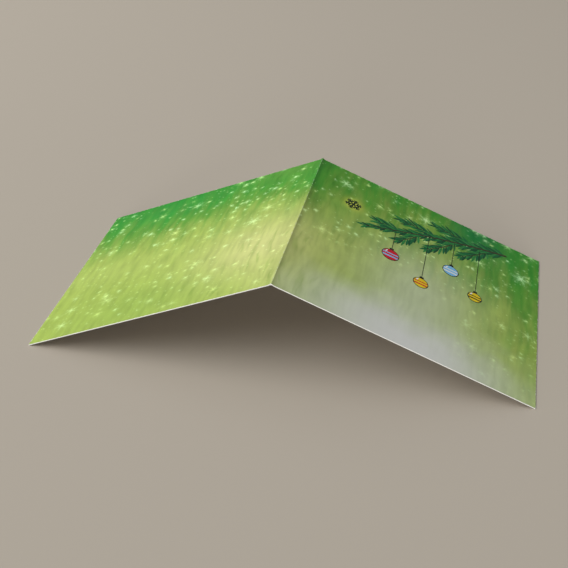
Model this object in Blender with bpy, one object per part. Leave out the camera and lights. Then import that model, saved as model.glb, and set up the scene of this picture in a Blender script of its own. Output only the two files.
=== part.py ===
"""Folded greeting card, standing half open like a tent.

One square-cut sheet of board is creased across its middle and folded once. The fold runs along Y at the top,
the printed faces point up and out, and the two free edges stand on the floor. The frame is in metres, +Z up,
with its origin on the floor, midway between the feet.
"""

import math

import bmesh
import bpy

# Driving sizes, in metres and degrees
LEAF_WIDTH = 0.148  # from the fold to the free edge, along the printed face
LEAF_LENGTH = 0.148  # along the fold
BOARD = 0.0005  # thickness of the sheet
OPEN_ANGLE = 135.0  # between the inner faces of the two leaves

# The crease
KICK_ANGLE = 18.0  # how much steeper than its leaf the board lies right beside the fold
EASE_RADIUS = 0.0075  # the hollow curve from that steep strip out to the flat leaf
INNER_RADIUS = 0.0001  # of the neutral inside of the fold, before the bead is added
BEAD_HALF_WIDTH = 0.00045  # the bead that the creasing rule pushes up along the inside
BEAD_RISE = 0.00012  # how far the bead's crown stands out from its own two edges

# Steps that each round stretch is drawn with
EASE_STEPS = 8
NOSE_STEPS = 16
SMOOTH_UNDER = math.radians(30.0)  # steps that turn less than this are shaded as one curve

# The fields of colour in the print, from 0 at the near edge and the fold to 1 at the far and free edges
GREEN = (0.034, 0.288, 0.034, 1.0)
LEAF_GREEN = (0.138, 0.371, 0.048, 1.0)
LIME = (0.402, 0.539, 0.093, 1.0)
PALE_LIME = (0.560, 0.630, 0.190, 1.0)
SNOW_WHITE = (0.820, 0.820, 0.780, 1.0)
BOARD_WHITE = (0.860, 0.850, 0.820, 1.0)
PRINT_ROUGHNESS = 0.42
BOARD_ROUGHNESS = 0.80
LENGTH_FIELDS = ((0.00, LIME), (0.55, PALE_LIME), (0.74, LEAF_GREEN), (0.92, GREEN))
DRIFT_ACROSS = ((0.00, 0.35), (0.42, 1.00), (0.68, 0.85), (0.94, 0.00))  # how white, from the fold out
DRIFT_ALONG = ((0.06, 1.00), (0.25, 0.45), (0.42, 0.40), (0.64, 0.00))  # how white, from the near edge up

# The winter picture on the front leaf, in leaf widths from the fold out and from the near edge up
FIR_GREEN = (0.008, 0.130, 0.040, 1.0)
BARK_BROWN = (0.061, 0.042, 0.016, 1.0)
OUTLINE_INK = (0.018, 0.020, 0.010, 1.0)
RED = (0.700, 0.010, 0.025, 1.0)
YELLOW = (0.890, 0.680, 0.020, 1.0)
LIGHT_BLUE = (0.250, 0.580, 0.870, 1.0)
NIGHT_GREEN = (0.004, 0.034, 0.008, 1.0)
BRANCH = ((0.85, 0.91), (0.62, 0.85), (0.26, 0.65))  # root, bend and tip of the fir sprig
BRANCH_SPANS = 6  # steps from root to tip; each oval of the branch runs over two of them
BRANCH_HALF_WIDTH = 0.028  # of the branch and of each twig, with their needles
STEM_HALF_WIDTH = 0.004
TWIGS = (  # place along the branch, turn away from it in degrees, and length
    (0.16, 40.0, 0.18), (0.30, -38.0, 0.17), (0.43, 38.0, 0.19),
    (0.56, -36.0, 0.16), (0.68, 36.0, 0.14), (0.80, -30.0, 0.10),
)
BALLS = (  # place along the branch, drop of the thread, radius, and colours of the ball and its band
    (0.83, 0.19, 0.036, RED, LIGHT_BLUE), (0.62, 0.35, 0.032, YELLOW, RED),
    (0.44, 0.22, 0.034, LIGHT_BLUE, SNOW_WHITE), (0.24, 0.37, 0.030, YELLOW, OUTLINE_INK),
)
OUTLINE = 0.004  # how wide the dark line round each ball is
THREAD_HALF_WIDTH = 0.0015
BAND_REACH = 0.90  # of a ball's radius
BAND_HALF_WIDTH = 0.22  # of a ball's radius
CRYSTAL = (0.18, 0.76)  # middle of the dark snow crystal
CRYSTAL_RADIUS = 0.042
CRYSTAL_HALF_WIDTH = 0.006
CRYSTAL_ARMS = 6

# Worked out from the sizes above
LEAF_SLOPE = math.radians(180.0 - OPEN_ANGLE) / 2.0
FLANK_SLOPE = LEAF_SLOPE + math.radians(KICK_ANGLE)
NOSE_RADIUS = INNER_RADIUS + BOARD
FLAT_WIDTH = LEAF_WIDTH - NOSE_RADIUS * FLANK_SLOPE - EASE_RADIUS * (FLANK_SLOPE - LEAF_SLOPE)
EASE_REACH = NOSE_RADIUS + EASE_RADIUS  # how far the hollow curve's centre is from the nose's centre
HALF_LENGTH = LEAF_LENGTH / 2.0


def clear_scene():
    """Empty the scene of the objects that it starts with."""
    for thing in list(bpy.context.scene.objects):
        bpy.data.objects.remove(thing, do_unlink=True)


def arc(centre, radius, start, end, steps):
    """Points of a round stretch in the section, at angles measured from straight up towards +X."""
    points = []
    for step in range(steps + 1):
        angle = start + (end - start) * step / steps
        points.append((centre[0] + radius * math.sin(angle), centre[1] + radius * math.cos(angle)))
    return points


def ease_centre():
    """Centre of the hollow curve, above the printed face, seen from the nose's centre."""
    return (EASE_REACH * math.sin(FLANK_SLOPE), EASE_REACH * math.cos(FLANK_SLOPE))


def free_edge(depth):
    """Where the free edge is cut, at a depth below the printed face."""
    centre = ease_centre()
    reach = EASE_RADIUS + depth
    return (
        centre[0] - reach * math.sin(LEAF_SLOPE) + FLAT_WIDTH * math.cos(LEAF_SLOPE),
        centre[1] - reach * math.cos(LEAF_SLOPE) - FLAT_WIDTH * math.sin(LEAF_SLOPE),
    )


def outer_half():
    """The printed face from the top of the fold down to the free edge at +X."""
    nose = arc((0.0, 0.0), NOSE_RADIUS, 0.0, FLANK_SLOPE, NOSE_STEPS // 2)
    ease = arc(ease_centre(), EASE_RADIUS, FLANK_SLOPE + math.pi, LEAF_SLOPE + math.pi, EASE_STEPS)
    return nose + ease[1:] + [free_edge(0.0)]


def inner_half():
    """The inner face from the crown of the bead to the free edge, point for point with the printed face."""
    centre = ease_centre()
    reach = EASE_RADIUS + BOARD
    root = math.asin((centre[0] - BEAD_HALF_WIDTH) / reach)
    root_height = centre[1] - reach * math.cos(root)
    bead_radius = (BEAD_HALF_WIDTH**2 + BEAD_RISE**2) / (2.0 * BEAD_RISE)
    bead_centre = (0.0, root_height + bead_radius - BEAD_RISE)
    half_turn = math.asin(BEAD_HALF_WIDTH / bead_radius)
    bead = arc(bead_centre, bead_radius, math.pi, math.pi - half_turn, NOSE_STEPS // 2)
    ease = arc(centre, reach, root + math.pi, LEAF_SLOPE + math.pi, EASE_STEPS)
    return bead + ease[1:] + [free_edge(BOARD)]


def both_sides(half):
    """A half section and its mirror image, as one run of points from the -X foot to the +X foot."""
    return [(-x, z) for x, z in reversed(half[1:])] + half


def add_section(shape, y):
    """Draw the section as a row of faces across the board, and lift it so that its feet are at z = 0."""
    floor = free_edge(BOARD)[1]
    outer = [shape.verts.new((x, y, z - floor)) for x, z in both_sides(outer_half())]
    inner = [shape.verts.new((x, y, z - floor)) for x, z in both_sides(inner_half())]
    faces = []
    for i in range(len(outer) - 1):
        faces.append(shape.faces.new((outer[i], inner[i], inner[i + 1], outer[i + 1])))
    return faces


def ramp(nodes, stops, name):
    """A colour ramp with one stop for each place along it."""
    node = nodes.new("ShaderNodeValToRGB")
    node.name = name
    elements = node.color_ramp.elements
    for element, (place, colour) in ((elements[0], stops[0]), (elements[1], stops[-1])):
        element.position = place
        element.color = colour
    for place, colour in stops[1:-1]:
        elements.new(place).color = colour
    return node


def grey_stops(stops):
    """The same stops with each share written as a grey."""
    return [(place, (share, share, share, 1.0)) for place, share in stops]


def spread(nodes, links, source, start, end):
    """A 0 to 1 value that follows one coordinate from start to end."""
    node = nodes.new("ShaderNodeMapRange")
    node.inputs["From Min"].default_value = start
    node.inputs["From Max"].default_value = end
    links.new(source, node.inputs["Value"])
    return node.outputs["Result"]


def lay_over(nodes, links, share, under, over):
    """The under colour with a plain colour printed over it, as far as the share goes from 0 to 1."""
    colour = nodes.new("ShaderNodeMix")
    colour.data_type = "RGBA"
    colour.inputs["B"].default_value = over
    links.new(share, colour.inputs["Factor"])
    links.new(under, colour.inputs["A"])
    return colour.outputs["Result"]


def along_branch(share):
    """A place on the branch, from its root at 0 to its tip at 1, and the angle that it runs at there."""
    root, bend, tip = BRANCH
    left = 1.0 - share
    place = [left**2 * a + 2.0 * left * share * b + share**2 * c for a, b, c in zip(root, bend, tip)]
    run = [left * (b - a) + share * (c - b) for a, b, c in zip(root, bend, tip)]
    return place, math.atan2(run[1], run[0])


def from_place(place, angle, length):
    """The place that lies a length away at an angle."""
    return (place[0] + length * math.cos(angle), place[1] + length * math.sin(angle))


def sprig_ovals():
    """The fir sprig: an oval for each twig, a chain of them along the branch, and the stem over them."""
    steps = [along_branch(step / BRANCH_SPANS)[0] for step in range(BRANCH_SPANS + 1)]
    ovals = []
    for share, turn, length in TWIGS:
        root, angle = along_branch(share)
        tip = from_place(root, angle + math.radians(turn), length)
        ovals.append((root, tip, BRANCH_HALF_WIDTH, FIR_GREEN))
    for half_width, ink in ((BRANCH_HALF_WIDTH, FIR_GREEN), (STEM_HALF_WIDTH, BARK_BROWN)):
        for start, end in zip(steps, steps[2:]):
            ovals.append((start, end, half_width, ink))
    return ovals


def ball_ovals():
    """Each glass ball: its thread, its dark outline, its colour and the band across it."""
    ovals = []
    for share, drop, radius, colour, band in BALLS:
        hook = along_branch(share)[0]
        middle = from_place(hook, -math.pi / 2.0, drop)
        layers = (
            (radius, radius, OUTLINE_INK),
            (radius - OUTLINE, radius - OUTLINE, colour),
            (BAND_REACH * radius, BAND_HALF_WIDTH * radius, band),
        )
        ovals.append((hook, middle, THREAD_HALF_WIDTH, OUTLINE_INK))
        for reach, half_width, ink in layers:
            ends = [from_place(middle, angle, reach) for angle in (math.pi, 0.0)]
            ovals.append((*ends, half_width, ink))
    return ovals


def crystal_ovals():
    """The snow crystal: slim ovals that cross in its middle."""
    ovals = []
    for arm in range(CRYSTAL_ARMS // 2):
        angle = math.tau * arm / CRYSTAL_ARMS
        ends = [from_place(CRYSTAL, angle + turn, CRYSTAL_RADIUS) for turn in (math.pi, 0.0)]
        ovals.append((*ends, CRYSTAL_HALF_WIDTH, NIGHT_GREEN))
    return ovals


def oval_mask(nodes, links, place, start, end, half_width):
    """1 inside an oval that runs from one place on the front leaf to another, and 0 outside it."""
    middle = [(a + b) / 2.0 for a, b in zip(start, end)]
    fitted = nodes.new("ShaderNodeMapping")
    fitted.vector_type = "TEXTURE"
    fitted.inputs["Location"].default_value = (*middle, 0.0)
    fitted.inputs["Rotation"].default_value = (0.0, 0.0, math.atan2(end[1] - start[1], end[0] - start[0]))
    fitted.inputs["Scale"].default_value = (math.dist(start, end) / 2.0, half_width, 1.0)
    links.new(place, fitted.inputs["Vector"])
    reach = nodes.new("ShaderNodeVectorMath")
    reach.operation = "LENGTH"
    links.new(fitted.outputs["Vector"], reach.inputs[0])
    inside = nodes.new("ShaderNodeMath")
    inside.operation = "LESS_THAN"
    inside.inputs[1].default_value = 1.0
    links.new(reach.outputs["Value"], inside.inputs[0])
    return inside.outputs["Value"]


def on_front_leaf(nodes, links, place):
    """A place of the card, in leaf widths from the fold out and from the near edge up."""
    seen_width = LEAF_WIDTH * math.cos(LEAF_SLOPE)  # of a leaf that would run on flat up to its fold
    flat = nodes.new("ShaderNodeVectorMath")
    flat.operation = "MULTIPLY"
    flat.inputs[1].default_value = (1.0, 1.0, 0.0)
    links.new(place, flat.inputs[0])
    sheet = nodes.new("ShaderNodeMapping")
    sheet.vector_type = "TEXTURE"
    sheet.inputs["Location"].default_value = (free_edge(0.0)[0] - seen_width, -HALF_LENGTH, 0.0)
    sheet.inputs["Scale"].default_value = (seen_width, LEAF_WIDTH, 1.0)
    links.new(flat.outputs["Vector"], sheet.inputs["Vector"])
    return sheet.outputs["Vector"]


def print_picture(nodes, links, place, colour):
    """Print the winter picture over a colour, one oval at a time."""
    sheet = on_front_leaf(nodes, links, place)
    for start, end, half_width, ink in ball_ovals() + sprig_ovals() + crystal_ovals():
        mask = oval_mask(nodes, links, sheet, start, end, half_width)
        colour = lay_over(nodes, links, mask, colour, ink)
    return colour


def printed_material():
    """Satin print: fields of green along the sheet, a white drift low on the front leaf, and the picture."""
    material = bpy.data.materials.new("printed_face")
    material.use_nodes = True
    nodes = material.node_tree.nodes
    links = material.node_tree.links
    surface = nodes["Principled BSDF"]
    surface.inputs["Roughness"].default_value = PRINT_ROUGHNESS
    surface.inputs["Metallic"].default_value = 0.0
    card_place = nodes.new("ShaderNodeTexCoord").outputs["Object"]
    place = nodes.new("ShaderNodeSeparateXYZ")
    links.new(card_place, place.inputs["Vector"])
    along = spread(nodes, links, place.outputs["Y"], -HALF_LENGTH, HALF_LENGTH)
    across = spread(nodes, links, place.outputs["X"], 0.0, LEAF_WIDTH * math.cos(LEAF_SLOPE))
    greens = ramp(nodes, LENGTH_FIELDS, "greens_along_the_sheet")
    links.new(along, greens.inputs["Fac"])
    drift_along = ramp(nodes, grey_stops(DRIFT_ALONG), "drift_along_the_sheet")
    links.new(along, drift_along.inputs["Fac"])
    drift_across = ramp(nodes, grey_stops(DRIFT_ACROSS), "drift_across_the_front")
    links.new(across, drift_across.inputs["Fac"])
    front = nodes.new("ShaderNodeMath")
    front.operation = "GREATER_THAN"
    front.inputs[1].default_value = 0.0
    links.new(place.outputs["X"], front.inputs[0])
    share = front.outputs["Value"]
    for source in (drift_along, drift_across):
        product = nodes.new("ShaderNodeMath")
        product.operation = "MULTIPLY"
        links.new(share, product.inputs[0])
        links.new(source.outputs["Color"], product.inputs[1])
        share = product.outputs["Value"]
    colour = lay_over(nodes, links, share, greens.outputs["Color"], SNOW_WHITE)
    colour = print_picture(nodes, links, card_place, colour)
    links.new(colour, surface.inputs["Base Color"])
    return material


def board_material():
    """Bare white board: the inside of the card and its cut edges."""
    material = bpy.data.materials.new("plain_board")
    material.use_nodes = True
    surface = material.node_tree.nodes["Principled BSDF"]
    surface.inputs["Base Color"].default_value = BOARD_WHITE
    surface.inputs["Roughness"].default_value = BOARD_ROUGHNESS
    surface.inputs["Metallic"].default_value = 0.0
    return material


def make_card():
    """The whole card: its section drawn at the near end and pulled out along the fold."""
    shape = bmesh.new()
    section = add_section(shape, -HALF_LENGTH)
    pulled = bmesh.ops.extrude_face_region(shape, geom=section, use_keep_orig=True)
    far_end = [item for item in pulled["geom"] if isinstance(item, bmesh.types.BMVert)]
    bmesh.ops.translate(shape, verts=far_end, vec=(0.0, LEAF_LENGTH, 0.0))
    bmesh.ops.recalc_face_normals(shape, faces=shape.faces)
    for face in shape.faces:
        looks_up = face.normal.z > abs(face.normal.y)  # true of the printed face alone
        face.material_index = 0 if looks_up else 1
    mesh = bpy.data.meshes.new("folded_card")
    shape.to_mesh(mesh)
    shape.free()
    mesh.materials.append(printed_material())
    mesh.materials.append(board_material())
    mesh.shade_smooth()
    mesh.set_sharp_from_angle(angle=SMOOTH_UNDER)
    card = bpy.data.objects.new("folded_card", mesh)
    bpy.context.scene.collection.objects.link(card)
    return card


clear_scene()
make_card()
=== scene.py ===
# %% [markdown]
# This lesson dresses a greeting card: one sheet of board, printed on one side, creased down its middle and
# stood half open like a tent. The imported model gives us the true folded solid. Everything we add has to lie
# on it, so we load it first and note the box that it fills.

import math

import bmesh
import bpy
from mathutils import Matrix, Vector


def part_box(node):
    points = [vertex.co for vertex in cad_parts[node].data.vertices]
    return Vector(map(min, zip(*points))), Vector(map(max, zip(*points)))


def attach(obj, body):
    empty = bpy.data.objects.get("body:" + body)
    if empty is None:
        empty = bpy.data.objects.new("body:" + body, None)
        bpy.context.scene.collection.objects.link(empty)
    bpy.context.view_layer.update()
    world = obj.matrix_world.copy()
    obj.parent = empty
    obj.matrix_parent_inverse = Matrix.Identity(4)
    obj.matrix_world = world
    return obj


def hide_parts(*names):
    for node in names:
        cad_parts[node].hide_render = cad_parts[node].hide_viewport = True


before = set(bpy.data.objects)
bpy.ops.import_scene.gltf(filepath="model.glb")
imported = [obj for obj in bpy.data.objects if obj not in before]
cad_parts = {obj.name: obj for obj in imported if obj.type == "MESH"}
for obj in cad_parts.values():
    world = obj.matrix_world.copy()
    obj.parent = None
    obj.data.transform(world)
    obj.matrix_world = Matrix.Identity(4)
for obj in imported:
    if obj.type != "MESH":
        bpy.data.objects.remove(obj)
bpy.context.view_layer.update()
scene = bpy.context.scene
low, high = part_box("folded_card")
MM = 1000.0  # millimetres in a metre
print("card box in mm:", [round(MM * side, 2) for side in high - low])

# %% [markdown]
# A camera is easiest to understand as a direction and a distance: it looks at a point near the middle of the
# card, from 12 degrees to the right and 32 degrees above the table. A lens of 70 mm keeps the far edge only
# a little smaller than the near edge, as in a product photograph.

# %% Camera
VIEW_TURN = math.radians(11.81)
VIEW_RISE = math.radians(32.02)
VIEW_DISTANCE = 0.637
LOOKED_AT = Vector((-0.0088, 0.0, 0.0108))
LENS_MM = 69.7

away = Vector((
    math.sin(VIEW_TURN) * math.cos(VIEW_RISE),
    -math.cos(VIEW_TURN) * math.cos(VIEW_RISE),
    math.sin(VIEW_RISE),
))
camera = bpy.data.objects.new("camera", bpy.data.cameras.new("camera"))
camera.location = LOOKED_AT + VIEW_DISTANCE * away
camera.rotation_euler = away.to_track_quat("Z", "Y").to_euler()
camera.data.lens = LENS_MM
scene.collection.objects.link(camera)
scene.camera = camera
print("camera at", [round(value, 3) for value in camera.location])

# %% [markdown]
# Every finish is a node tree. One helper adds a node and fills its inputs with plain values or with wires
# from other nodes. Colours are written as the eye reads them on a screen, and turned into the linear values
# that nodes work in.

# %% Helpers for finishes
def seen(red, green, blue):
    """A colour as read on a screen, from 0 to 255, in the linear values that nodes use."""
    return tuple(((part / 255.0 + 0.055) / 1.055) ** 2.4 for part in (red, green, blue)) + (1.0,)


def add_node(tree, kind, settings=None, inputs=None):
    """Put a ShaderNode of some kind into a tree, choose its settings and fill its inputs."""
    node = tree.nodes.new("ShaderNode" + kind)
    for name, choice in (settings or {}).items():
        setattr(node, name, choice)
    for name, source in (inputs or {}).items():
        if isinstance(source, bpy.types.NodeSocket):
            tree.links.new(source, node.inputs[name])
        else:
            node.inputs[name].default_value = source
    return node


def rise(tree, value, start, end, top=1.0):
    """A soft step that is 0 before start and reaches its top at end; it falls if start is the larger."""
    inputs = {"Value": value, "From Min": start, "From Max": end, "To Max": top}
    return add_node(tree, "MapRange", {"interpolation_type": "SMOOTHSTEP"}, inputs).outputs["Result"]


def start_material(name, roughness, shine=0.5):
    """A material with nothing in it but its Principled shader, its roughness and its shine."""
    material = bpy.data.materials.new(name)
    material.use_nodes = True
    surface = material.node_tree.nodes["Principled BSDF"].inputs
    surface["Roughness"].default_value = roughness
    surface["Specular IOR Level"].default_value = shine
    return material, material.node_tree, surface


print("middle grey in linear values:", round(seen(128, 128, 128)[0], 3))

# %% [markdown]
# The main light is one very big soft lamp, high on the left and a little to the front, so the left leaf is
# bright and the right leaf falls into half shade. A wide lamp also blurs the shadow under the near edges. A
# second lamp stands low in front and far off. It grazes the table and misses both leaves, but it catches the
# thin white cut edges. A third, weak lamp stands close, on the left and behind, so the table darkens gently
# from far left to near right.

# %% Lamps
def soft_lamp(name, direction, distance, radius, level):
    """A round lamp that faces the card. A level of 1 lights a white surface that faces it to full white."""
    lamp = bpy.data.objects.new(name, bpy.data.lights.new(name, "AREA"))
    lamp.data.shape = "DISK"
    lamp.data.size = 2.0 * radius
    lamp.data.energy = level * math.pi**2 * (distance**2 + radius**2)
    lamp.location = distance * direction
    lamp.rotation_euler = direction.to_track_quat("Z", "Y").to_euler()
    lamp.visible_camera = False
    scene.collection.objects.link(lamp)
    print(name, "energy in W:", round(lamp.data.energy, 1))


def leaning(left, front):
    """The direction that leans from straight up to the left and then to the front, in degrees."""
    left, front = math.radians(left), math.radians(front)
    return Vector((-math.sin(left) * math.cos(front), -math.sin(front), math.cos(left) * math.cos(front)))


soft_lamp("main_lamp", leaning(left=44.0, front=16.0), distance=6.4, radius=3.74, level=0.76)
soft_lamp("edge_lamp", leaning(left=-12.0, front=83.0), distance=6.4, radius=0.8, level=0.32)
soft_lamp("back_lamp", leaning(left=44.0, front=-24.0), distance=1.3, radius=0.45, level=0.105)

# %% [markdown]
# The table is one large pale plane that fades out with its distance from the card, so a low view shows no
# hard horizon. The world adds an even fill, a little cooler than the lamps as daylight is. The camera sees a
# plain pale backdrop in its place, because a light path node tells the two apart.

# %% Table and backdrop
TABLE_SIDE = 8.0
TABLE_SOLID = 1.2  # how far from the card the table starts to fade, and where it is gone
TABLE_GONE = 3.9
FILL_COLOUR = (0.92, 0.97, 1.0, 1.0)
FILL_STRENGTH = 0.226
BACKDROP_COLOUR = seen(214, 208, 199)

table_shape = bmesh.new()
bmesh.ops.create_grid(table_shape, x_segments=1, y_segments=1, size=TABLE_SIDE / 2.0)
table_mesh = bpy.data.meshes.new("table")
table_shape.to_mesh(table_mesh)
table_shape.free()
table = bpy.data.objects.new("table", table_mesh)
scene.collection.objects.link(table)
table_paint, tree, surface = start_material("table_paint", roughness=0.9, shine=0.2)
surface["Base Color"].default_value = seen(185, 175, 161)
table_place = add_node(tree, "TexCoord").outputs["Object"]
from_card = add_node(tree, "VectorMath", {"operation": "LENGTH"}, {0: table_place}).outputs["Value"]
tree.links.new(rise(tree, from_card, TABLE_GONE, TABLE_SOLID), surface["Alpha"])
table_mesh.materials.append(table_paint)

world = bpy.data.worlds.new("studio")
world.use_nodes = True
scene.world = world
sky = world.node_tree
fill = sky.nodes["Background"]
fill.inputs["Color"].default_value = FILL_COLOUR
fill.inputs["Strength"].default_value = FILL_STRENGTH
backdrop = add_node(sky, "Background", None, {"Color": BACKDROP_COLOUR, "Strength": 1.0})
to_camera = add_node(sky, "LightPath").outputs["Is Camera Ray"]
both_skies = {0: to_camera, 1: fill.outputs[0], 2: backdrop.outputs[0]}
either = add_node(sky, "MixShader", None, both_skies)
sky.links.new(either.outputs[0], sky.nodes["World Output"].inputs["Surface"])
scene.view_settings.view_transform = "Standard"
print("table side in m:", TABLE_SIDE)

# %% [markdown]
# Now the card itself. A creased board has four shapes across its section: a tight round nose along the fold,
# a steep strip that eases into the flat leaf along a hollow curve, the flat leaf, and a small bead inside,
# where the creasing rule pushed the fibres out. We keep the same few sizes as the solid, and read the leaf's
# flat width from the card's box.

# %% Sizes of the sheet
BOARD = 0.0005
OPEN_ANGLE = math.radians(135.0)
KICK_ANGLE = math.radians(18.0)
EASE_RADIUS = 0.0075
INNER_RADIUS = 0.0001
BEAD_HALF_WIDTH = 0.00045
BEAD_RISE = 0.00012

LEAF_SLOPE = (math.pi - OPEN_ANGLE) / 2.0
FLANK_SLOPE = LEAF_SLOPE + KICK_ANGLE
NOSE_RADIUS = INNER_RADIUS + BOARD
NOSE_TURN = NOSE_RADIUS * FLANK_SLOPE  # how much of the sheet each round stretch takes
EASE_TURN = EASE_RADIUS * (FLANK_SLOPE - LEAF_SLOPE)


def along_slope(angle):
    """The direction that runs down a face, where angle is the face's slope."""
    return Vector((math.cos(angle), 0.0, -math.sin(angle)))


def out_of(angle):
    """The direction that points straight out of a face with that slope."""
    return Vector((math.sin(angle), 0.0, math.cos(angle)))


nose_centre = Vector((0.0, 0.0, high.z - NOSE_RADIUS))
ease_centre = nose_centre + (NOSE_RADIUS + EASE_RADIUS) * out_of(FLANK_SLOPE)
flat_start = ease_centre - EASE_RADIUS * out_of(LEAF_SLOPE)
FLAT_WIDTH = (high.x - flat_start.x) / math.cos(LEAF_SLOPE)
LEAF_WIDTH = NOSE_TURN + EASE_TURN + FLAT_WIDTH
LEAF_LENGTH = high.y - low.y
print("one leaf in mm:", round(MM * LEAF_WIDTH, 2), "x", round(MM * LEAF_LENGTH, 2))

# %% [markdown]
# A real card is printed, cut and creased flat, and folded last. We do the same. Each piece is modelled flat,
# with x as the distance from the fold, y along the fold and z as the height over the printed face, and one
# function then presses it into its folded place. The print can't slip or stretch this way.

# %% Press a flat place into the folded card
def printed_face(distance):
    """The place on the printed face, and its slope, at a distance from the fold on the +X side."""
    if distance <= NOSE_TURN:
        slope = distance / NOSE_RADIUS
        return nose_centre + NOSE_RADIUS * out_of(slope), slope
    if distance <= NOSE_TURN + EASE_TURN:
        slope = FLANK_SLOPE - (distance - NOSE_TURN) / EASE_RADIUS
        return ease_centre - EASE_RADIUS * out_of(slope), slope
    return flat_start + (distance - NOSE_TURN - EASE_TURN) * along_slope(LEAF_SLOPE), LEAF_SLOPE


bead_radius = (BEAD_HALF_WIDTH**2 + BEAD_RISE**2) / (2.0 * BEAD_RISE)
bead_spread = math.asin(BEAD_HALF_WIDTH / bead_radius)
root_slope = math.asin((ease_centre.x - BEAD_HALF_WIDTH) / (EASE_RADIUS + BOARD))
bead_root = ease_centre - (EASE_RADIUS + BOARD) * out_of(root_slope)
bead_centre = Vector((0.0, 0.0, bead_root.z + bead_radius - BEAD_RISE))


def inner_face(distance):
    """The place on the inner face that lies behind that distance from the fold."""
    if distance <= NOSE_TURN:
        return bead_centre - bead_radius * out_of(-bead_spread * distance / NOSE_TURN)
    if distance <= NOSE_TURN + EASE_TURN:
        share = (distance - NOSE_TURN) / EASE_TURN
        slope = root_slope + share * (LEAF_SLOPE - root_slope)
        return ease_centre - (EASE_RADIUS + BOARD) * out_of(slope)
    return printed_face(distance)[0] - BOARD * out_of(LEAF_SLOPE)


def pressed(flat):
    """Where a flat place ends up in the folded card. Its z is the height over the printed face."""
    distance = abs(flat.x)
    place, slope = printed_face(distance)
    if flat.z >= 0.0:
        place = place + flat.z * out_of(slope)
    else:
        place = place.lerp(inner_face(distance), -flat.z / BOARD)
    return Vector((math.copysign(place.x, flat.x), flat.y, place.z))


print("fold crown in mm:", round(MM * printed_face(0.0)[0].z, 2))

# %% [markdown]
# The sheet starts as a flat grid of two leaves. Cuts with bisect_plane add lines only where the board will
# bend, and one beyond each bend, so that smooth shading can't leak out over the flat leaf. Extruding gives
# the board its thickness, and a very small bevel softens its guillotined edges.

# %% Cut and crease the flat board
NOSE_STEPS = 8
EASE_STEPS = 10
GUARD = 0.001
WELD = 1e-7
CUT_SOFTNESS = 0.00004
SMOOTH_UNDER = math.radians(20.0)


def crease_lines():
    """Distances from the fold at which the flat sheet needs a line, on one side."""
    nose = [NOSE_TURN * step / NOSE_STEPS for step in range(1, NOSE_STEPS + 1)]
    ease = [NOSE_TURN + EASE_TURN * step / EASE_STEPS for step in range(1, EASE_STEPS + 1)]
    return nose + ease + [NOSE_TURN + EASE_TURN + GUARD]


def cut_across(shape, distance):
    """Add one line of edges along the fold, at a signed distance from it."""
    everything = shape.verts[:] + shape.edges[:] + shape.faces[:]
    bmesh.ops.bisect_plane(shape, geom=everything, dist=WELD, plane_co=(distance, 0, 0), plane_no=(1, 0, 0))


def flat_board():
    """The flat sheet with its crease lines, its thickness and its softened edges."""
    shape = bmesh.new()
    bmesh.ops.create_grid(shape, x_segments=2, y_segments=1, size=1.0)
    to_size = Matrix.Diagonal((LEAF_WIDTH, LEAF_LENGTH / 2.0, 1.0, 1.0))
    bmesh.ops.transform(shape, verts=shape.verts, matrix=to_size)
    for distance in crease_lines():
        cut_across(shape, distance)
        cut_across(shape, -distance)
    pulled = bmesh.ops.extrude_face_region(shape, geom=shape.faces[:], use_keep_orig=True)
    inner = [item for item in pulled["geom"] if isinstance(item, bmesh.types.BMVert)]
    bmesh.ops.translate(shape, verts=inner, vec=(0.0, 0.0, -BOARD))
    bmesh.ops.recalc_face_normals(shape, faces=shape.faces)
    sharp = [edge for edge in shape.edges if edge.calc_face_angle() > SMOOTH_UNDER]
    bmesh.ops.bevel(
        shape, geom=sharp, offset=CUT_SOFTNESS, affect="EDGES", segments=2, profile=0.5, material=-1)
    return shape


board = flat_board()
print("faces of the flat board:", len(board.faces))

# %% [markdown]
# While the board is flat, each corner keeps its flat place in a UV map, which the print will follow, and
# each face takes the number of its finish from the way that it faces.

# %% Note the flat places and the sides
PRINTED, INSIDE, CUT = range(3)


def write_flat_places(shape):
    """Keep each corner's flat place as a UV map that runs from 0 to 1 over the whole sheet."""
    places = shape.loops.layers.uv.new("sheet")
    for face in shape.faces:
        for corner in face.loops:
            flat = corner.vert.co
            corner[places].uv = (0.5 + flat.x / (2.0 * LEAF_WIDTH), 0.5 + flat.y / LEAF_LENGTH)


def name_sides(shape):
    """Give each face the number of its finish."""
    for face in shape.faces:
        if face.normal.z > math.cos(SMOOTH_UNDER):
            face.material_index = PRINTED
        elif face.normal.z < -math.cos(SMOOTH_UNDER):
            face.material_index = INSIDE
        else:
            face.material_index = CUT


write_flat_places(board)
name_sides(board)
print("cut faces:", sum(face.material_index == CUT for face in board.faces))

# %% [markdown]
# The print is worked out by node groups. A group has named sockets, as a tool has dials, and each use of it
# sets the dials again. A pattern runs from 0 to 1, and swing turns it into a movement up and down around a
# base.

# %% Helpers for patterns and groups
def maths(tree, operation, *values):
    """The result of one step of arithmetic."""
    return add_node(tree, "Math", {"operation": operation}, dict(enumerate(values))).outputs[0]


def times(tree, first, *others):
    """The product of two or more values."""
    for other in others:
        first = maths(tree, "MULTIPLY", first, other)
    return first


def rest_of(tree, share):
    """What a share leaves of 1."""
    return maths(tree, "SUBTRACT", 1.0, share)


def swing(tree, pattern, amount, base):
    """A base moved by up to half of an amount each way, as a pattern runs from 0 to 1."""
    return maths(tree, "MULTIPLY_ADD", maths(tree, "SUBTRACT", pattern, 0.5), amount, base)


def blend(tree, share, under, over, way="MIX"):
    """Two colours mixed, from all under at 0 to all over at 1."""
    settings = {"data_type": "RGBA", "blend_type": way, "clamp_result": True}
    return add_node(tree, "Mix", settings, {"Factor": share, "A": under, "B": over}).outputs["Result"]


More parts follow.
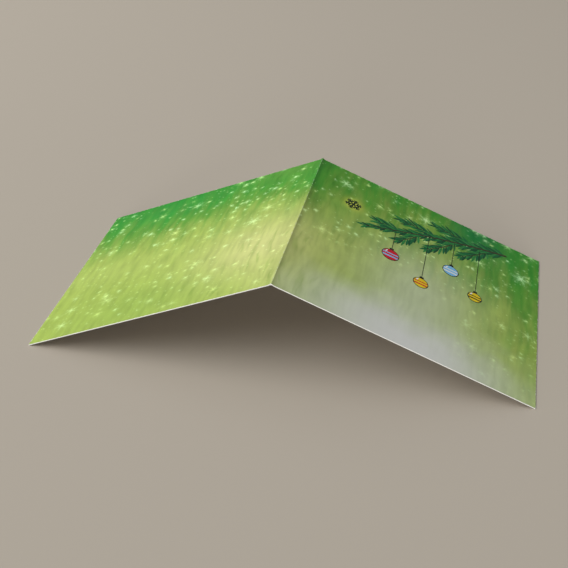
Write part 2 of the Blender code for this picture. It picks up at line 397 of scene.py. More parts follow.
def scaled(tree, place, scale):
    """A place with all of its measures scaled."""
    inputs = {0: place, "Scale": scale}
    return add_node(tree, "VectorMath", {"operation": "SCALE"}, inputs).outputs[0]


def noise(tree, place, detail=2.0):
    """Soft random values between 0 and 1 over a place."""
    inputs = {"Vector": place, "Scale": 1.0, "Detail": detail}
    return add_node(tree, "TexNoise", {"noise_dimensions": "3D"}, inputs).outputs["Fac"]


def start_group(name, inputs, outputs):
    """An empty node group with named sockets, and the ends to wire it to."""
    group = bpy.data.node_groups.new(name, "ShaderNodeTree")
    for way, titles in (("INPUT", inputs), ("OUTPUT", outputs)):
        for title in titles:
            group.interface.new_socket(title, in_out=way, socket_type="NodeSocketFloat")
    entry = group.nodes.new("NodeGroupInput").outputs
    exit_ = group.nodes.new("NodeGroupOutput").inputs
    print("started group", name)
    return group, entry, exit_


def use_group(tree, group, inputs=None):
    """Place a finished group in a tree with its own values, and return its outputs."""
    return add_node(tree, "Group", {"node_tree": group}, inputs).outputs


# %% [markdown]
# Every part of the print asks the same question: where on the sheet am I? This group answers it once, in
# millimetres: how far from the fold, with the back leaf negative, how far up from the near edge, and how far
# from the nearest cut edge, which the wear will need.

# %% Group: place on the sheet
LEAF_MM = LEAF_WIDTH * MM
LENGTH_MM = LEAF_LENGTH * MM

sheet_place, _, found = start_group("sheet_place", (), ("Across", "Up", "From Edge"))
tree = sheet_place
flat_uv = add_node(tree, "UVMap", {"uv_map": "sheet"}).outputs["UV"]
u_and_v = add_node(tree, "SeparateXYZ", None, {0: flat_uv}).outputs
across = maths(tree, "MULTIPLY_ADD", u_and_v["X"], 2.0 * LEAF_MM, -LEAF_MM)
up = maths(tree, "MULTIPLY", u_and_v["Y"], LENGTH_MM)
side_edge = maths(tree, "SUBTRACT", LEAF_MM, maths(tree, "ABSOLUTE", across))
far_edge = maths(tree, "SUBTRACT", LENGTH_MM, up)
nearest = maths(tree, "MINIMUM", maths(tree, "MINIMUM", up, far_edge), side_edge)
tree.links.new(across, found["Across"])
tree.links.new(up, found["Up"])
tree.links.new(nearest, found["From Edge"])


def make_place(tree, across, up, seed):
    """A place for a pattern. The seed picks another part of the pattern."""
    return add_node(tree, "CombineXYZ", None, {0: across, 1: up, 2: seed}).outputs[0]


def sized_place(tree, sheet, size, seed):
    """A place for a pattern whose clouds are about one size, in millimetres."""
    across = maths(tree, "DIVIDE", sheet["Across"], size)
    return make_place(tree, across, maths(tree, "DIVIDE", sheet["Up"], size), seed)


# %% [markdown]
# The design has the look of light falling through snow: soft colours drawn out into streaks along the fold.
# Noise makes a streak when its place is squeezed one way and stretched the other. A second, slower noise
# sways the streaks, because ruled lines would look like brushed metal. The group also gives the thin dark
# lines in the hollows between streaks, and a cloudy mask lets those come and go. The soft clouds are the
# same idea without the stretch.

# %% Groups: falling streaks and soft clouds
SWAY_MM = 9.0
SWAY_SCALE_MM = 30.0
CONTRAST = (0.3, 0.7)  # the noise values that become 0 and 1
HOLLOW_CONTRAST = (0.46, 0.30)
PATCH_CONTRAST = (0.40, 0.62)

dials = ("Width", "Length", "Seed")
streaks, given, found = start_group("falling_streaks", dials, ("Value", "Hollows"))
sheet = use_group(streaks, sheet_place)
slow = noise(streaks, sized_place(streaks, sheet, SWAY_SCALE_MM, given["Seed"]))
squeezed = maths(streaks, "DIVIDE", swing(streaks, slow, SWAY_MM, sheet["Across"]), given["Width"])
stretched = maths(streaks, "DIVIDE", sheet["Up"], given["Length"])
fine = noise(streaks, make_place(streaks, squeezed, stretched, given["Seed"]), detail=1.0)
hollows = times(streaks, rise(streaks, fine, *HOLLOW_CONTRAST), rise(streaks, slow, *PATCH_CONTRAST))
streaks.links.new(rise(streaks, fine, *CONTRAST), found["Value"])
streaks.links.new(hollows, found["Hollows"])

clouds, given, found = start_group("soft_clouds", ("Size", "Seed"), ("Value",))
soft = noise(clouds, sized_place(clouds, use_group(clouds, sheet_place), given["Size"], given["Seed"]))
clouds.links.new(rise(clouds, soft, *CONTRAST), found["Value"])

# %% [markdown]
# Printed snow is a scatter of soft flakes: a bright core, a glow and sometimes arms. A Voronoi texture gives
# each cell of the sheet one random point, and random values of its own. The reach of the glow grows and
# shrinks with the angle around that point, which draws the arms, and a fine noise makes its outline ragged.
# It fades away like an exponential curve, as real glare does.

# %% Group: printed snow, one flake
DISORDER = 0.9
ARM_SHARPNESS = 2.5
CLUMP_MM = 1.3
CLUMP_CONTRAST = (0.25, 0.75)
CLUMP_LEAST = 0.5
SIZE_LEAST, SIZE_MORE = 0.45, 0.9  # the least of a random amount, and what chance adds to it
LIGHT_LEAST, LIGHT_MORE = 0.45, 0.7
GLOW_POWER = 1.2
GLOW_FADE = 2.6

dials = ("Cell", "Radius", "Arms", "Points", "Share", "Seed")
snowfall, given, found = start_group("printed_snow", dials, ("Value", "Chance"))
tree = snowfall
sheet = use_group(tree, sheet_place)
cell_x = maths(tree, "ADD", maths(tree, "DIVIDE", sheet["Across"], given["Cell"]), given["Seed"])
place = make_place(tree, cell_x, maths(tree, "DIVIDE", sheet["Up"], given["Cell"]), 0.0)
cell_inputs = {"Vector": place, "Scale": 1.0, "Randomness": DISORDER}
cells = add_node(tree, "TexVoronoi", {"voronoi_dimensions": "2D"}, cell_inputs).outputs
to_border_form = {"voronoi_dimensions": "2D", "feature": "DISTANCE_TO_EDGE"}
to_border = add_node(tree, "TexVoronoi", to_border_form, cell_inputs).outputs["Distance"]
chance = add_node(tree, "SeparateColor", None, {0: cells["Color"]}).outputs
offset = add_node(tree, "VectorMath", {"operation": "SUBTRACT"}, {0: place, 1: cells["Position"]})
sides = add_node(tree, "SeparateXYZ", None, {0: offset.outputs[0]}).outputs
turn = times(tree, chance["Red"], math.tau)
angle = maths(tree, "ADD", maths(tree, "ARCTAN2", sides["Y"], sides["X"]), turn)
half_turns = times(tree, angle, times(tree, given["Points"], 0.5))
waves = maths(tree, "ABSOLUTE", maths(tree, "COSINE", half_turns))
arm = maths(tree, "POWER", waves, ARM_SHARPNESS)
arms = maths(tree, "MULTIPLY_ADD", arm, given["Arms"], rest_of(tree, given["Arms"]))
clump = noise(tree, sized_place(tree, sheet, CLUMP_MM, given["Seed"]))
ragged = maths(tree, "ADD", rise(tree, clump, *CLUMP_CONTRAST), CLUMP_LEAST)
squared_chance = maths(tree, "POWER", chance["Green"], 2.0)
own_size = maths(tree, "MULTIPLY_ADD", squared_chance, SIZE_MORE, SIZE_LEAST)
own_light = maths(tree, "MULTIPLY_ADD", chance["Green"], LIGHT_MORE, LIGHT_LEAST)
reach = times(tree, arms, given["Radius"], own_size, ragged)
away_mm = times(tree, cells["Distance"], given["Cell"])
steps_out = maths(tree, "POWER", maths(tree, "DIVIDE", away_mm, reach), GLOW_POWER)
glow = maths(tree, "EXPONENT", times(tree, steps_out, -GLOW_FADE))

# %% [markdown]
# Some cells stay empty, and a slow noise makes the snow thick in one place and thin in another. It is read
# at the flake's own point, so a flake is never cut in two. A glow also fades towards the border of its cell,
# which would cut it off in a straight line.

# %% Group: printed snow, which flakes fall
SNOWFALL_SIZE_MM = 26.0
SNOWFALL_LEAST, SNOWFALL_MORE = 0.25, 1.5
BORDER_FADE_MM = 1.4

noise_scale = maths(tree, "DIVIDE", given["Cell"], SNOWFALL_SIZE_MM)
thick = rise(tree, noise(tree, scaled(tree, cells["Position"], noise_scale)), *CONTRAST)
thickness = maths(tree, "MULTIPLY_ADD", thick, SNOWFALL_MORE, SNOWFALL_LEAST)
kept = maths(tree, "LESS_THAN", chance["Blue"], times(tree, given["Share"], thickness))
whole = rise(tree, times(tree, to_border, given["Cell"]), 0.0, BORDER_FADE_MM)
tree.links.new(times(tree, glow, own_light, kept, whole), found["Value"])
tree.links.new(chance["Red"], found["Chance"])

# %% [markdown]
# Handling rubs the print off a card at its cut edges and along its fold. One group serves both: it takes a
# distance from the edge and a width, and lets noise break the line up, so that white board shows in chips
# and not as a drawn border.

# %% Group: rubbed edge
CHIP_CONTRAST = (0.38, 0.68)
WIDEST_CHIP = 2.0  # in widths, and the share of a width over which a chip's border is soft
CHIP_SOFTNESS = 0.5

rubbed, given, found = start_group("rubbed_edge", ("Distance", "Width", "Grain"), ("Value",))
chip_place = sized_place(rubbed, use_group(rubbed, sheet_place), given["Grain"], 0.0)
chips = rise(rubbed, noise(rubbed, chip_place, detail=3.0), *CHIP_CONTRAST, WIDEST_CHIP)
inside_chip = maths(rubbed, "SUBTRACT", times(rubbed, given["Width"], chips), given["Distance"])
soft_width = times(rubbed, given["Width"], CHIP_SOFTNESS)
rubbed.links.new(rise(rubbed, inside_chip, 0.0, soft_width), found["Value"])

# %% [markdown]
# Board is made of pressed fibres. They show faintly under the print, and more on the bare inside and the cut
# edges. The group gives two sizes of grain in one value, and each finish decides how strongly it shows.

# %% Group: board fibre
COARSER = 6.0  # how many times the second grain is as large as the first
FINE_SHARE = 0.6

fibre, given, found = start_group("board_fibre", ("Grain",), ("Value",))
object_place = add_node(fibre, "TexCoord").outputs["Object"]
fine_place = scaled(fibre, object_place, maths(fibre, "DIVIDE", MM, given["Grain"]))
fine = noise(fibre, fine_place, detail=4.0)
coarse = noise(fibre, scaled(fibre, fine_place, 1.0 / COARSER))
both = maths(fibre, "MULTIPLY_ADD", fine, FINE_SHARE, times(fibre, coarse, 1.0 - FINE_SHARE))
fibre.links.new(both, found["Value"])


def lift_surface(tree, surface, height, strength, distance):
    """Let a pattern lift a surface by up to a distance in metres."""
    bump = add_node(tree, "Bump", None, {"Height": height, "Strength": strength, "Distance": distance})
    tree.links.new(bump.outputs["Normal"], surface["Normal"])


# %% [markdown]
# The print is built up as a painter would, and the first coat runs from deep green at the far edge to lime
# half way down. On the front leaf it starts ahead, so the deepest green is missing, and it lags behind
# towards the outer edge. Streaks and clouds then shift the greens up and down, which draws their borders out
# into falling lines.

# %% Print: falling greens
MEADOW_GREEN = seen(70, 156, 44)
YOUNG_LIME = seen(142, 178, 74)
LIME = seen(170, 194, 86)
FALL_STOPS = (  # how far down the sheet, and the colour there
    (0.00, seen(42, 146, 38)), (0.12, MEADOW_GREEN), (0.22, seen(104, 163, 54)),
    (0.34, YOUNG_LIME), (0.50, LIME), (1.00, LIME),
)
LEAD, LEAD_GONE = 0.13, 0.5  # how far ahead at the far edge, and how far down that has worn off
LEAD_FROM_MM = (2.0, 22.0)
LAG, LAG_FROM = 0.45, 0.58  # the share lost at the outer edge, and where across the leaf that begins
# painted shade beside the fold: how far the greens are pulled back towards the darker greens there, and
# within how many millimetres
FOLD_GREEN_SHADE, FOLD_GREEN_SHADE_MM = 0.06, 20.0
GREEN_SWINGS = (  # a group, its dials, and how far it moves the greens
    (streaks, {"Width": 8.0, "Length": 55.0, "Seed": 3.0}, 0.10),
    (streaks, {"Width": 3.0, "Length": 28.0, "Seed": 8.0}, 0.07),
    (clouds, {"Size": 30.0, "Seed": 5.0}, 0.07),
)

printed, tree, surface = start_material("printed_face", roughness=0.48, shine=0.25)
sheet = use_group(tree, sheet_place)
from_fold = maths(tree, "ABSOLUTE", sheet["Across"])
fall = rest_of(tree, maths(tree, "DIVIDE", sheet["Up"], LENGTH_MM))  # 0 at the far edge, 1 at the near edge
ahead = times(tree, rise(tree, fall, LEAD_GONE, 0.0, LEAD), rise(tree, sheet["Across"], *LEAD_FROM_MM))
behind = rise(tree, sheet["Across"], LAG_FROM * LEAF_MM, LEAF_MM, LAG)
green = times(tree, maths(tree, "ADD", fall, ahead), rest_of(tree, behind))
# painted shade: the greens darken beside the fold, on both leaves
green = maths(tree, "SUBTRACT", green, rise(tree, from_fold, FOLD_GREEN_SHADE_MM, 0.0, FOLD_GREEN_SHADE))
for group, dials, amount in GREEN_SWINGS:
    green = swing(tree, use_group(tree, group, dials)["Value"], amount, green)
ramp = add_node(tree, "ValToRGB", None, {"Fac": green})
elements = ramp.color_ramp.elements
for element, (stop, colour) in ((elements[0], FALL_STOPS[0]), (elements[1], FALL_STOPS[-1])):
    element.position = stop
    element.color = colour
for stop, colour in FALL_STOPS[1:-1]:
    elements.new(stop).color = colour
colour = ramp.outputs["Color"]
print("greens down the sheet:", len(elements))

# %% [markdown]
# Broad soft washes come next, each one an oval that fades out from its middle. The back leaf has a pale glow
# beside the fold, paler lime across it and a greener far outer corner. The front leaf has a dark patch
# beside the fold and a cool one high up at its outer side.

# %% Print: washes
PALE_GLOW = seen(215, 217, 140)
COOL_GREEN = seen(6, 130, 60)
WASHES = (  # centre as shares of a leaf, from the fold out and from the near edge up; radii; strength; colour
    ((-0.12, 0.33), (0.27, 0.22), 0.9, PALE_GLOW),
    ((-0.02, 0.08), (0.12, 0.14), 0.35, PALE_GLOW),
    ((-0.75, 0.45), (0.45, 0.13), 0.3, seen(192, 208, 116)),
    ((-0.56, 0.10), (0.28, 0.16), 0.42, YOUNG_LIME),
    ((-0.14, 0.98), (0.18, 0.12), 0.33, YOUNG_LIME),
    ((-0.68, 0.90), (0.30, 0.12), 0.45, seen(40, 156, 58)),
    ((0.15, 0.83), (0.07, 0.16), 0.37, MEADOW_GREEN),
    ((0.71, 0.97), (0.12, 0.14), 0.9, COOL_GREEN),
    ((0.77, 0.86), (0.12, 0.12), 0.35, COOL_GREEN),
)


def squared_steps(tree, value, centre, step):
    """The square of the number of steps from a centre to a value."""
    return maths(tree, "POWER", maths(tree, "DIVIDE", maths(tree, "SUBTRACT", value, centre), step), 2.0)


def bell(tree, squares):
    """1 where the squares are 0, fading smoothly to nothing as they grow."""
    return maths(tree, "EXPONENT", times(tree, squares, -1.0))


def soft_spot(tree, sheet, centre, radii):
    """An oval that fades outwards from 1. Centre and radii are in millimetres on the sheet."""
    over = squared_steps(tree, sheet["Across"], centre[0], radii[0])
    return bell(tree, maths(tree, "ADD", over, squared_steps(tree, sheet["Up"], centre[1], radii[1])))


for centre, radii, strength, wash in WASHES:
    where = (centre[0] * LEAF_MM, centre[1] * LENGTH_MM)
    spot = soft_spot(tree, sheet, where, (radii[0] * LEAF_MM, radii[1] * LENGTH_MM))
    colour = blend(tree, times(tree, spot, strength), colour, wash)
print("washes:", len(WASHES))

# %% [markdown]
# The front leaf turns white towards its near edge. A pale column comes down its middle, and a bank of fog
# with a cloudy top spreads along the edge. Each leaves a share of the colour, so together they leave the
# product. A small yellow halo marks the place of a crystal.

# %% Print: white drift and halo
DRIFT_WHITE = seen(228, 228, 221)
COLUMN = (0.52, 0.225)  # centre and half width, as shares of the front leaf
COLUMN_FALL, COLUMN_WHITE = (0.18, 0.68), 0.46  # how far down it comes in, and how white it gets
FOG = (0.50, 0.40)
FOG_FALL = (0.70, 0.97)
FOG_BILLOWS, FOG_SWING = {"Size": 34.0, "Seed": 61.0}, 0.07
OVER_FOLD_MM = (-3.0, 3.0)
CRYSTAL_PLACE = (27.0, 112.0)  # in millimetres, from the fold and up from the near edge
HALO_YELLOW = seen(236, 236, 92)
HALO_MM, HALO_STRENGTH = 5.5, 0.85


def beside_line(tree, sheet, centre, half_width):
    """How close a place on the front leaf is to a line down it, fading from 1 there."""
    squares = squared_steps(tree, sheet["Across"], centre * LEAF_MM, half_width * LEAF_MM)
    return times(tree, bell(tree, squares), rise(tree, sheet["Across"], *OVER_FOLD_MM))


column = times(tree, rise(tree, fall, *COLUMN_FALL, COLUMN_WHITE), beside_line(tree, sheet, *COLUMN))
foggy = swing(tree, use_group(tree, clouds, FOG_BILLOWS)["Value"], FOG_SWING, fall)
fog = times(tree, rise(tree, foggy, *FOG_FALL), beside_line(tree, sheet, *FOG))
drift = rest_of(tree, times(tree, rest_of(tree, column), rest_of(tree, fog)))
colour = blend(tree, drift, colour, DRIFT_WHITE)
halo = soft_spot(tree, sheet, CRYSTAL_PLACE, (HALO_MM, HALO_MM))
colour = blend(tree, times(tree, halo, HALO_STRENGTH), colour, HALO_YELLOW)
print("nodes so far:", len(tree.nodes))

# %% [markdown]
# The streaks show in the brightness too, as lighter and darker bands with thin dark hollows between them.
# The hollows are deepest near the fold, and the drift calms both. Right beside the fold a painted shade
# darkens the print a little.

# %% Print: streaks of light and shade
HOLLOW_TINT = (0.70, 0.83, 0.58, 1.0)  # how much of each primary a dark hollow lets through
STREAK_COATS = (  # a streak's dials, how far it swings the brightness, and the strength of its hollows
    ({"Width": 4.2, "Length": 28.0, "Seed": 21.0}, 0.13, 0.5),
    ({"Width": 2.3, "Length": 15.0, "Seed": 33.0}, 0.06, 0.6),
)
MOTTLING, MOTTLING_SWING = {"Size": 11.0, "Seed": 14.0}, 0.08
CALMED = 0.85  # how much of the streaks the drift takes away
BRIGHTNESS = 0.995
# painted shade beside the fold: how much it darkens the print, and over how many millimetres
FOLD_PAINTED_SHADE, FOLD_PAINTED_SHADE_MM = 0.09, 10.0
BACK_HOLLOWS_MM = (-110.0, -30.0)
FRONT_HOLLOWS_MM = (40.0, 0.0)
LEAST_HOLLOW = 0.3

calm = rest_of(tree, times(tree, drift, CALMED))
back = rise(tree, sheet["Across"], *BACK_HOLLOWS_MM)
to_fold = maths(tree, "MINIMUM", back, rise(tree, sheet["Across"], *FRONT_HOLLOWS_MM))
near_fold = maths(tree, "MULTIPLY_ADD", to_fold, 1.0 - LEAST_HOLLOW, LEAST_HOLLOW)
shade = 0.0
for dials, amount, strength in STREAK_COATS:
    coat = use_group(tree, streaks, dials)
    shade = swing(tree, coat["Value"], amount, shade)
    hollow = times(tree, coat["Hollows"], near_fold, strength, calm)
    colour = blend(tree, hollow, colour, HOLLOW_TINT, "MULTIPLY")
shade = swing(tree, use_group(tree, clouds, MOTTLING)["Value"], MOTTLING_SWING, shade)
shade = maths(tree, "MULTIPLY_ADD", shade, calm, BRIGHTNESS)
# painted shade: the print gets a little darker right beside the fold
shade = maths(tree, "SUBTRACT", shade, rise(tree, from_fold, FOLD_PAINTED_SHADE_MM, 0.0, FOLD_PAINTED_SHADE))
colour = add_node(tree, "HueSaturation", None, {"Value": shade, "Color": colour}).outputs["Color"]
print("coats of streaks:", len(STREAK_COATS))

# %% [markdown]
# Snow comes last, in four sizes: a few soft crystals with arms, round flakes, many small dots and a fine
# dust. A flake adds its light to the colour under it, so it takes on some of the green, as pale ink on a
# coloured ground does. The snow is strongest high on the front leaf and down its outer side, and thins out
# over the pale drift. On the back leaf it gets fainter down the sheet.

# %% Print: snow
SNOW = seen(204, 240, 190)
YELLOW_SNOW = seen(211, 232, 149)
SNOW_SIZES = (  # a flake's dials, and its strength
    ({"Cell": 17.0, "Radius": 5.2, "Arms": 0.5, "Points": 6.0, "Share": 0.52, "Seed": 0.0}, 0.95),
    ({"Cell": 9.0, "Radius": 3.3, "Arms": 0.3, "Points": 4.0, "Share": 0.22, "Seed": 40.0}, 0.95),
    ({"Cell": 5.5, "Radius": 2.0, "Arms": 0.15, "Points": 4.0, "Share": 0.22, "Seed": 80.0}, 0.95),
    ({"Cell": 2.6, "Radius": 0.9, "Arms": 0.0, "Points": 4.0, "Share": 0.2, "Seed": 120.0}, 0.7),
)
HIGH_FALL = (0.68, 0.34)  # how far down the snow is gone, and above which it is full
OUTER_FALL = (1.15, 0.3)
OUTER_MM = (0.62 * LEAF_MM, 0.78 * LEAF_MM)
BACK_FALL = (0.58, 0.14)
BACK_LEAST, BACK_MORE = 0.53, 0.45
CHANGE_MM = 4.0  # over this much of the back leaf, one leaf's snow gives way to the other's

outer = times(tree, rise(tree, sheet["Across"], *OUTER_MM), rise(tree, fall, *OUTER_FALL))
front = maths(tree, "MAXIMUM", rise(tree, fall, *HIGH_FALL), outer)
front = times(tree, front, rise(tree, sheet["Across"], -CHANGE_MM, 0.0))
back = maths(tree, "ADD", rise(tree, fall, *BACK_FALL, BACK_MORE), BACK_LEAST)
back = times(tree, back, rise(tree, sheet["Across"], 0.0, -CHANGE_MM))
snowy = maths(tree, "ADD", front, back)
for dials, strength in SNOW_SIZES:
    flakes = use_group(tree, snowfall, dials)
    flake_colour = blend(tree, flakes["Chance"], SNOW, YELLOW_SNOW)
    colour = blend(tree, times(tree, flakes["Value"], strength, snowy), colour, flake_colour, "ADD")
print("sizes of snow:", len(SNOW_SIZES))

# %% [markdown]
# Wear shows the bare board through the print at the fold and the cut edges, and the fibre lifts the surface
# a little. The finish is a thin satin varnish, so its shine is weak and rather wide.

# %% Print: wear and varnish
BARE_BOARD = seen(246, 244, 238)
FOLD_WEAR = 0.2  # the fold is rubbed far less than the edges

fold_wear = use_group(tree, rubbed, {"Distance": from_fold, "Width": 0.16, "Grain": 3.4})["Value"]
edge_wear = use_group(tree, rubbed, {"Distance": sheet["From Edge"], "Width": 0.12, "Grain": 2.6})["Value"]
worn = maths(tree, "MAXIMUM", times(tree, fold_wear, FOLD_WEAR), edge_wear)
tree.links.new(blend(tree, worn, colour, BARE_BOARD), surface["Base Color"])
relief = use_group(tree, fibre, {"Grain": 0.35})["Value"]
lift_surface(tree, surface, relief, strength=0.25, distance=0.00002)
print("nodes in the printed face:", len(tree.nodes))

# %% [markdown]
# The inside of the card is bare board: warm white, quite rough, with a fibre that you see only close up. The
# cut edge shows the core of the board, a little whiter, with the torn fibres that a guillotine leaves. Now
# the sheet can be folded. One function does so for every piece: it presses the flat shape, shades it smooth
# but for its corners, and lets it ride on the card. The dressed sheet then takes the place of the packed
# solid.

# %% Finish and fold the sheet
BOARD_CONTRAST = (0.32, 0.68)


def bare_board(name, whites, roughness, grain, lift):
    """Uncoated board whose fibre shows as a mottle between two whites and as a slight relief."""
    material, tree, surface = start_material(name, roughness)
    fibres = use_group(tree, fibre, {"Grain": grain})["Value"]
    tree.links.new(blend(tree, rise(tree, fibres, *BOARD_CONTRAST), *whites), surface["Base Color"])
    lift_surface(tree, surface, fibres, strength=0.5, distance=lift)
    return material


whites = (seen(232, 229, 220), seen(244, 242, 235))
inside_board = bare_board("inner_board", whites, roughness=0.75, grain=0.5, lift=0.00003)
whites = (seen(240, 238, 232), seen(252, 251, 247))
cut_board = bare_board("cut_edge", whites, roughness=0.85, grain=0.15, lift=0.00002)


def finish_piece(name, shape, *finishes):
    """Fold a flat shape, make it an object with its finishes and let it ride on the card."""
    for corner in shape.verts:
        corner.co = pressed(corner.co)
    mesh = bpy.data.meshes.new(name)
    shape.to_mesh(mesh)
    shape.free()
    for finish in finishes:
        mesh.materials.append(finish)
    mesh.shade_smooth()
    mesh.set_sharp_from_angle(angle=SMOOTH_UNDER)
    piece = bpy.data.objects.new(name, mesh)
    scene.collection.objects.link(piece)
    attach(piece, "root")
    print(name, "has", len(mesh.polygons), "faces")
    return piece


card = finish_piece("card_sheet", board, printed, inside_board, cut_board)
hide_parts("folded_card")

# %% [markdown]
# The front carries a small winter picture in solid inks. A printer would lay these as spot colours, a little
# thicker than the background, so we model real layers of ink on the board. Each stroke starts as a flat
# circle that we draw out to a pointed lens, as a brush would leave it. Strokes that cross lie at slightly
# different heights, because two faces in exactly the same place would flicker.

# %% Helpers for the ink: strokes and lines
INK = 0.00003
INK_STEP = 0.000004
STROKE_SIDES = 10


def on_front(across, up):
    """A flat place on the front leaf, from millimetres off the fold and up from the near edge."""
    return Vector((across / MM, up / MM - LEAF_LENGTH / 2.0, 0.0))


def ink_height(layer):
    """How high over the board a layer of ink lies."""
    return Vector((0.0, 0.0, INK + layer * INK_STEP))


def stroke(shape, root, heading, length, width, layer, tone):
    """A pointed brush stroke from a root along a heading, in the plane of the sheet."""
    made = bmesh.ops.create_circle(shape, cap_ends=True, segments=STROKE_SIDES, radius=1.0)["verts"]
    for corner in made:
        corner.co.y *= math.sqrt(max(0.0, 1.0 - corner.co.x**2))
    drawn_out = Matrix.Diagonal((length / 2.0, width / 2.0, 1.0, 1.0))
    turned = Matrix.Rotation(math.atan2(heading.y, heading.x), 4, "Z")
    centre = root + heading.normalized() * length / 2.0 + ink_height(layer)
    bmesh.ops.transform(shape, verts=made, matrix=Matrix.Translation(centre) @ turned @ drawn_out)
    made[0].link_faces[0].material_index = tone


def line(shape, points, widths, layer, tone):
    """A painted line through points, with a width at each, pulled out step by step from one short edge."""
    height = ink_height(layer)
    tip = [shape.verts.new(points[0] + height), shape.verts.new(points[0] + height)]
    edge = shape.edges.new(tip)
    for i, (point, width) in enumerate(zip(points, widths)):
        heading = (points[min(i + 1, len(points) - 1)] - points[max(i - 1, 0)]).normalized()
        aside = Vector((-heading.y, heading.x, 0.0)) * width / 2.0
        if i > 0:
            pulled = bmesh.ops.extrude_edge_only(shape, edges=[edge])["geom"]
            edge = [item for item in pulled if isinstance(item, bmesh.types.BMEdge)][0]
            tip = edge.verts
            edge.link_faces[0].material_index = tone
        left, right = sorted(tip, key=lambda corner: corner.index)
        left.co = point + height + aside
        right.co = point + height - aside


print("thinnest ink in mm:", MM * INK)

# %% [markdown]
# All strokes of a motif are painted flat and thickened together. Their undersides lie just inside the board,
# so no light gets in between. Each ink varies between two tones, because it never dries quite evenly.

# %% Helpers for the ink: thickness and colour
SUNK = 0.00001
INK_CONTRAST = (0.35, 0.65)


def thicken_ink(shape):
    """Give flat strokes their thickness, down to just under the face of the board."""
    pulled = bmesh.ops.extrude_face_region(shape, geom=shape.faces[:], use_keep_orig=True)["geom"]
    for item in pulled:
        if isinstance(item, bmesh.types.BMVert):
            item.co.z = -SUNK
    bmesh.ops.recalc_face_normals(shape, faces=shape.faces)


def ink(name, colour, deeper):
    """A satin ink whose uneven lay runs between two tones."""
    material, tree, surface = start_material(name, roughness=0.4, shine=0.3)
    lay = rise(tree, use_group(tree, fibre, {"Grain": 0.8})["Value"], *INK_CONTRAST)
    tree.links.new(blend(tree, lay, deeper, colour), surface["Base Color"])
    return material


print("ink is sunk by mm:", MM * SUNK)

# %% [markdown]
# The main motif is a fir sprig that reaches in from the upper right and droops to the left. A real sprig has
# a woody stem and twigs, all set with needles that point forward. So one function walks along a curve and
# paints a pair of needles at each step, longer in the middle and short at the tip. Greens, angles and
# lengths vary a little, so the sprig looks painted and not stamped.

# %% Helpers for the sprig
NEEDLE_GAP = 0.0021
NEEDLE_LENGTH = 0.0098
NEEDLE_WIDTH = 0.00165
NEEDLE_SPREAD = math.radians(36.0)
SPREAD_CLOSES = 0.45  # the share of their spread that the needles lose towards the tip
SHORTEST = 0.62  # as a share of the longest needle
ROOT_RISE = 0.25  # lengths follow half a wave, and the root lies this far along it
WANDER, LENGTH_WANDER = 0.16, 0.12
NEEDLE_GREENS = 3
NEEDLE_LAYERS = 4
BARK = 3
LOOK_AHEAD = 0.02
STEM_STEPS = 12
STEM_TAPER = 0.65


def along_curve(ends, share):
    """A point on the smooth curve from the first end to the last that leans towards the middle one."""
    first = ends[0].lerp(ends[1], share)
    second = ends[1].lerp(ends[2], share)
    return first.lerp(second, share)


def paint_twig(shape, ends, layer, thickness):
    """A stem along a curve, with needles in pairs from its root to its tip."""
    length = (ends[1] - ends[0]).length + (ends[2] - ends[1]).length
    pairs = round(length / NEEDLE_GAP)
    for pair in range(1, pairs + 1):
        share = pair / pairs
        root = along_curve(ends, share)
        heading = along_curve(ends, min(share + LOOK_AHEAD, 1.0)) - along_curve(ends, share - LOOK_AHEAD)
        wave = math.sin(math.pi * (ROOT_RISE + (1.0 - ROOT_RISE) * share))
        fullness = SHORTEST + (1.0 - SHORTEST) * wave
        for side in (-1, 1):
            wander = WANDER * math.sin(7.3 * pair + 2.1 * side + 0.9 * layer)
            spread = side * (NEEDLE_SPREAD * (1.0 - SPREAD_CLOSES * share) + wander)
            aim = Matrix.Rotation(spread, 3, "Z") @ heading
            long = NEEDLE_LENGTH * fullness * (1.0 + LENGTH_WANDER * math.sin(4.7 * pair + side))
            tone = (pair + (side > 0)) % NEEDLE_GREENS
            stroke(shape, root, aim, long, NEEDLE_WIDTH, layer + pair % NEEDLE_LAYERS, tone)
    steps = [step / STEM_STEPS for step in range(STEM_STEPS + 1)]
    widths = [thickness * (1.0 - STEM_TAPER * share) for share in steps]
    line(shape, [along_curve(ends, share) for share in steps], widths, layer + NEEDLE_LAYERS, BARK)


print("needle in mm:", MM * NEEDLE_LENGTH)

# %% [markdown]
# The branch is one curve. Six twigs leave it in turn on either side and bend back towards it. Twigs side by
# side lie in different layers of ink, and the branch is painted over them all.

# %% Fir sprig
BRANCH = (on_front(126.0, 135.0), on_front(92.0, 126.0), on_front(38.0, 96.0))
TWIGS = (  # where along the branch, how far it turns from it in degrees, and its length in millimetres
    (0.16, 40.0, 27.0), (0.30, -38.0, 25.0), (0.43, 38.0, 28.0),
    (0.56, -36.0, 24.0), (0.68, 36.0, 21.0), (0.80, -30.0, 15.0),
)
BENT_BACK = 0.55  # the share of its turn that is left in a twig's outer half
TWIG_LAYERS = NEEDLE_LAYERS + 1

sprig = bmesh.new()
for i, (share, turn, length) in enumerate(TWIGS):
    root = along_curve(BRANCH, share)
    heading = (along_curve(BRANCH, share + LOOK_AHEAD) - root).normalized()
    aim = Matrix.Rotation(math.radians(turn), 3, "Z") @ heading
    bend = Matrix.Rotation(math.radians(turn) * BENT_BACK, 3, "Z") @ heading
    middle = root + aim * length / MM / 2.0
    twig = (root, middle, middle + bend * length / MM / 2.0)
    paint_twig(sprig, twig, layer=TWIG_LAYERS * (i % 2), thickness=0.0008)
paint_twig(sprig, BRANCH, layer=2 * TWIG_LAYERS, thickness=0.0015)
thicken_ink(sprig)
finish_piece(
    "fir_sprig", sprig,
    ink("deep_fir_green", seen(10, 92, 48), seen(4, 70, 38)),
    ink("fir_green", seen(20, 118, 60), seen(10, 96, 50)),
    ink("young_fir_green", seen(52, 142, 66), seen(34, 122, 56)),
    ink("bark_brown", seen(70, 58, 34), seen(52, 42, 26)),
)

